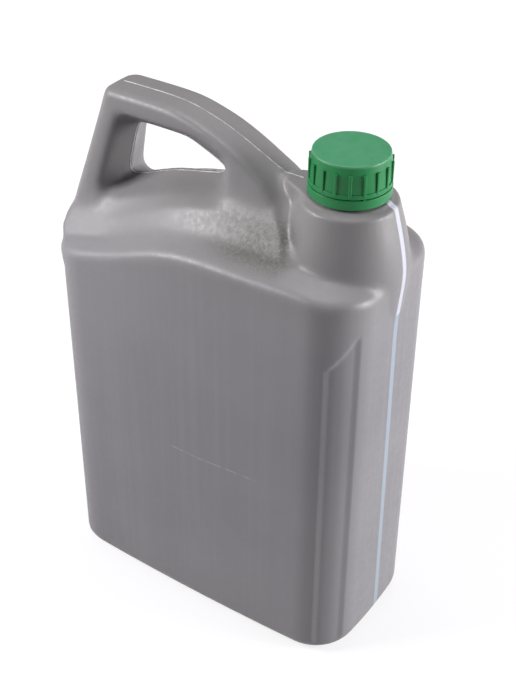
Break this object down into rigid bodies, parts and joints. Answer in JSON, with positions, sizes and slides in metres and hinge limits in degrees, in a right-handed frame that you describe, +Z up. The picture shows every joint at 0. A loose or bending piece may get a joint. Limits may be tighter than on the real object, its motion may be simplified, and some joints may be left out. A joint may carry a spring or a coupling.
{
  "type": "coolant jug",
  "caption": "Upright plastic jug with rounded corners, a through handle in the shoulder, a translucent level stripe and a ribbed screw cap over a tamper ring.",
  "frame": {"origin": "middle of the base, on the surface that the jug stands on", "axes": "+Z up; +X towards the end with the cap; -Y towards the face in front"},
  "size_m": [0.2116, 0.1044, 0.3229],
  "materials": {
    "jug_plastic": "grey blow-moulded polyethylene, satin",
    "cap_plastic": "green injection-moulded polyethylene, satin",
    "wad_foam": "white closed-cell foam",
    "coolant_liquid": "clear dyed water and glycol, drawn as a still liquid"
  },
  "bodies": {
    "jug": {"bottle": "jug_plastic", "tamper_ring": "cap_plastic", "coolant": "coolant_liquid"},
    "cap_carrier": {"sealing_wad": "wad_foam"},
    "cap": {"cap": "cap_plastic"}
  },
  "joints": [
    {"name": "cap_lift", "type": "slide", "parent": "jug", "child": "cap_carrier", "axis": [0, 0, 1], "range_m": [0, 0.026]},
    {"name": "cap_turn", "type": "hinge", "parent": "cap_carrier", "child": "cap", "pos_m": [0.072, 0, 0.305], "axis": [0, 0, 1], "range_deg": [0, 2340]}
  ],
  "couplings": [
    {"joint": "cap_turn", "follows": "cap_lift", "rad_per_m": 1570.8}
  ]
}
